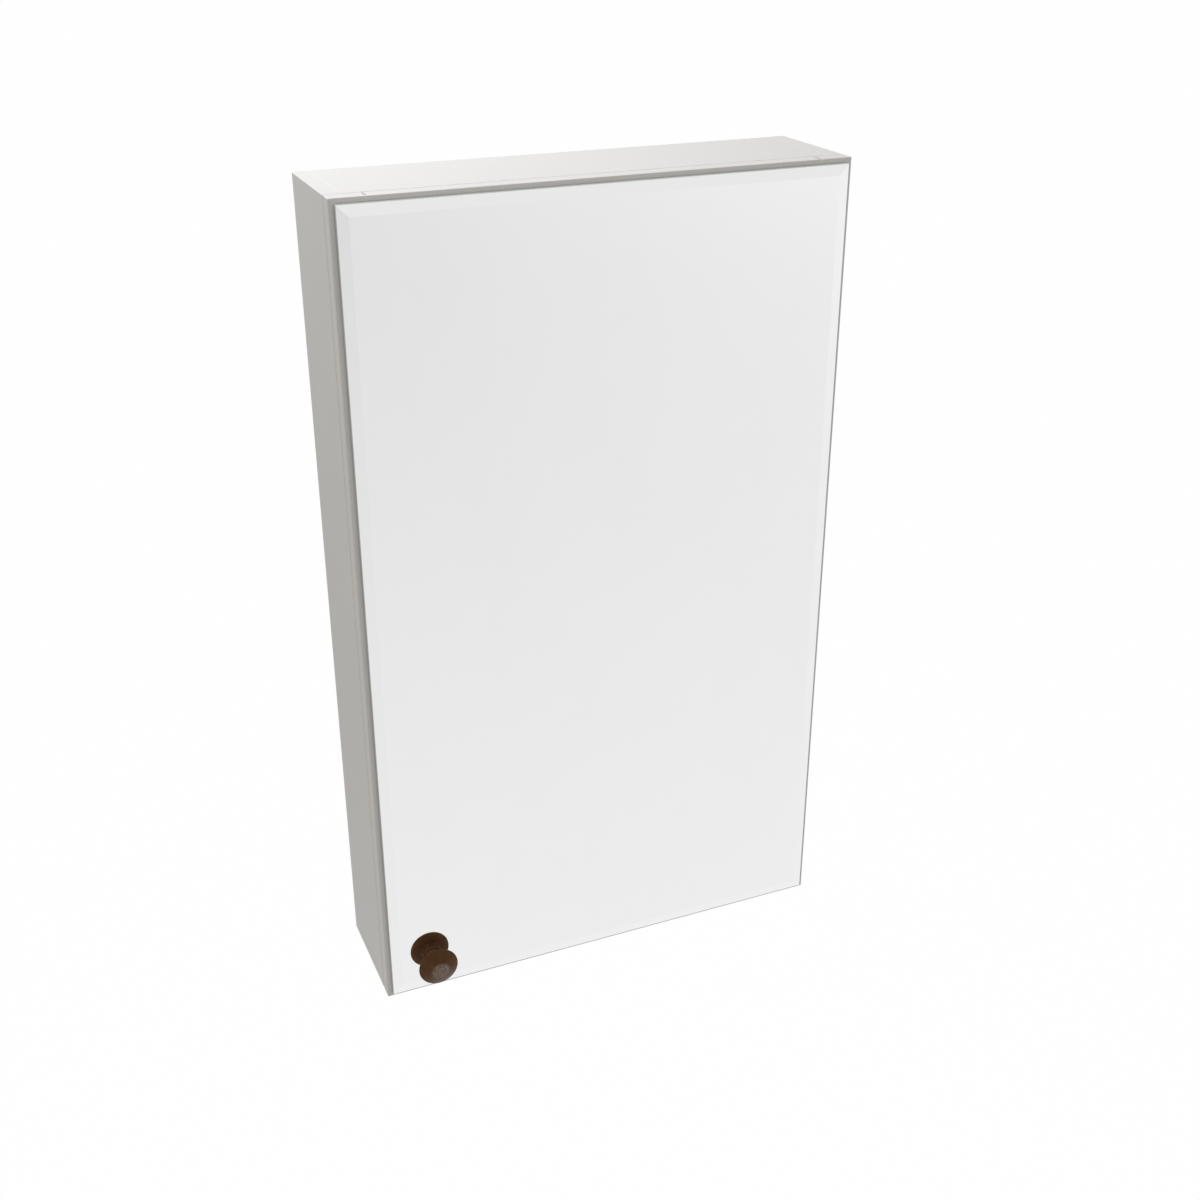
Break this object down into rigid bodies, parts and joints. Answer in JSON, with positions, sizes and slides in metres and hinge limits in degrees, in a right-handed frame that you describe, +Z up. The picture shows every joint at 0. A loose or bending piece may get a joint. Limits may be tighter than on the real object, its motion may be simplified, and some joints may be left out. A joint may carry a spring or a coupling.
{
  "type": "medicine cabinet",
  "caption": "Shallow white wall cabinet with a hinged bevelled-mirror door, a round knob, adjustable shelves on pins and a magnetic catch.",
  "frame": {"origin": "middle of the cabinet's back, on the wall plane", "axes": "+X to the right seen from the room, +Y into the wall, +Z up; the mirror looks along -Y"},
  "size_m": [0.3866, 0.1235, 0.635],
  "materials": {
    "painted_board": "smooth board under warm white satin paint",
    "painted_panel": "thin fibreboard, white on the room side",
    "dowel_wood": "plain beech dowel",
    "mirror_silver": "silvered glass with a polished bevel",
    "foam_tape": "double-sided foam tape",
    "knob_bronze": "dark brown rubbed bronze, satin",
    "clear_plastic": "clear plastic washer",
    "nickel_plate": "satin nickel-plated steel",
    "zinc_steel": "bright zinc-plated steel",
    "catch_plastic": "moulded white plastic",
    "magnet_ferrite": "dark sintered ferrite",
    "soft_stop": "clear soft self-adhesive dome"
  },
  "bodies": {
    "cabinet": {"left_side": "painted_board", "right_side": "painted_board", "top_panel": "painted_board", "bottom_panel": "painted_board", "back_panel": "painted_panel", "upper_hanging_rail": "painted_board", "lower_hanging_rail": "painted_board", "box_dowels": "dowel_wood", "back_screws": "zinc_steel", "lower_shelf": "painted_board", "upper_shelf": "painted_board", "lower_shelf_pins": "nickel_plate", "upper_shelf_pins": "nickel_plate", "upper_hinge_box_leaf": "nickel_plate", "lower_hinge_box_leaf": "nickel_plate", "hinge_box_screws": "zinc_steel", "catch_housing": "catch_plastic", "catch_magnet": "magnet_ferrite", "catch_poles": "zinc_steel", "catch_screws": "zinc_steel", "door_bumpers": "soft_stop"},
    "door": {"door_left_stile": "painted_board", "door_right_stile": "painted_board", "door_top_rail": "painted_board", "door_bottom_rail": "painted_board", "door_dowels": "dowel_wood", "door_panel": "painted_panel", "mirror_tape": "foam_tape", "mirror_glass": "mirror_silver", "knob": "knob_bronze", "knob_gasket": "clear_plastic", "knob_washer": "zinc_steel", "knob_screw": "zinc_steel", "upper_hinge_door_leaf": "nickel_plate", "lower_hinge_door_leaf": "nickel_plate", "upper_hinge_pin": "nickel_plate", "lower_hinge_pin": "nickel_plate", "hinge_door_screws": "zinc_steel", "strike_plate": "zinc_steel", "strike_screw": "zinc_steel"}
  },
  "joints": [
    {"name": "door_hinge", "type": "hinge", "parent": "cabinet", "child": "door", "pos_m": [0.1935, -0.0866, 0], "axis": [0, 0, 1], "range_deg": [0, 180]}
  ]
}
